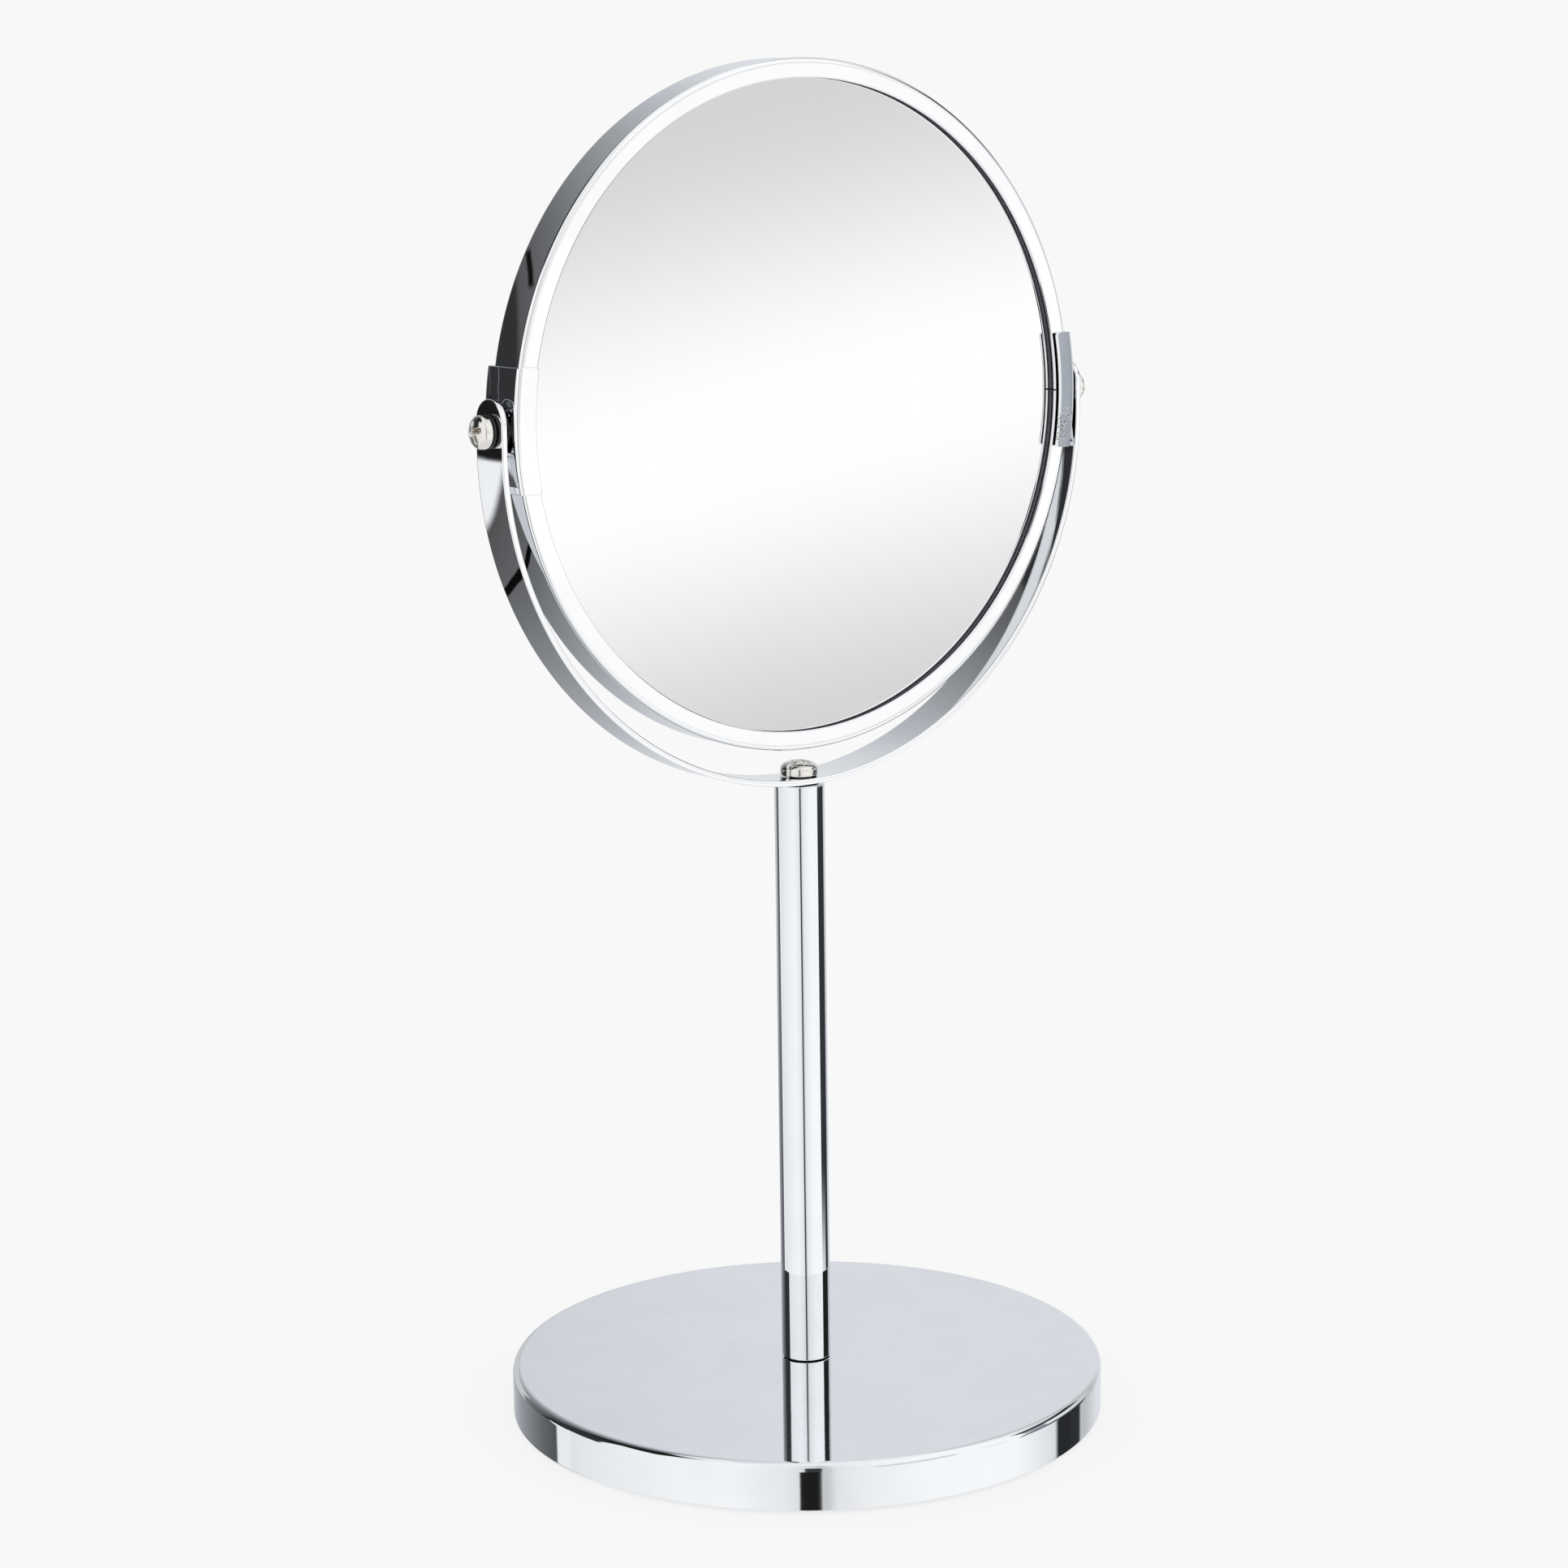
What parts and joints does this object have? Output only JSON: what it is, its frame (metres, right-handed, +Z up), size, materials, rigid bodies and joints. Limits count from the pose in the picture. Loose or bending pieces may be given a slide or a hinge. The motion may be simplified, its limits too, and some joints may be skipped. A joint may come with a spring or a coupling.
{
  "type": "extendable shaving mirror",
  "caption": "Free-standing two-sided round mirror: weighted round base, telescopic column, swivelling U yoke and tilting head.",
  "frame": {"origin": "centre of the base's underside, on the floor", "axes": "+Z up along the column, +X along the head's pivot axis, plain mirror faces -Y"},
  "size_m": [0.1862, 0.1524, 0.3428],
  "materials": {
    "chrome": "bright chrome plate",
    "nickel": "bright nickel plate",
    "steel": "plain zinc-plated steel",
    "iron": "raw cast iron",
    "brass": "machined brass",
    "nylon": "black nylon",
    "acetal": "white acetal",
    "foam": "closed-cell foam rubber",
    "mirror": "silvered glass",
    "card": "grey card"
  },
  "bodies": {
    "stand": {"base_cover": "chrome", "base_weight": "iron", "base_pad": "foam", "base_washer": "steel", "base_lock_washer": "steel", "column_bolt": "steel", "column_tube": "chrome", "column_insert": "brass", "tube_bush": "acetal"},
    "telescope": {"inner_rod": "chrome", "rod_guide": "acetal", "rod_stop_ring": "steel"},
    "yoke": {"yoke": "chrome", "yoke_screw": "nickel", "yoke_washer": "nylon"},
    "head": {"ring_upper": "chrome", "ring_lower": "chrome", "mirror_plain": "mirror", "mirror_magnifying": "mirror", "mirror_spacer": "card", "clip_left": "chrome", "clip_right": "chrome", "pivot_screw_left": "nickel", "pivot_screw_right": "nickel", "pivot_washer_inner_left": "nylon", "pivot_washer_inner_right": "nylon", "pivot_washer_outer_left": "nylon", "pivot_washer_outer_right": "nylon", "pivot_nut_left": "steel", "pivot_nut_right": "steel"}
  },
  "joints": [
    {"name": "extension", "type": "slide", "parent": "stand", "child": "telescope", "axis": [0, 0, 1], "range_m": [0, 0.1]},
    {"name": "swivel", "type": "hinge", "parent": "telescope", "child": "yoke", "pos_m": [0, 0, 0.1641], "axis": [0, 0, 1], "continuous": true},
    {"name": "tilt", "type": "hinge", "parent": "yoke", "child": "head", "pos_m": [0, 0, 0.258], "axis": [1, 0, 0], "continuous": true}
  ]
}
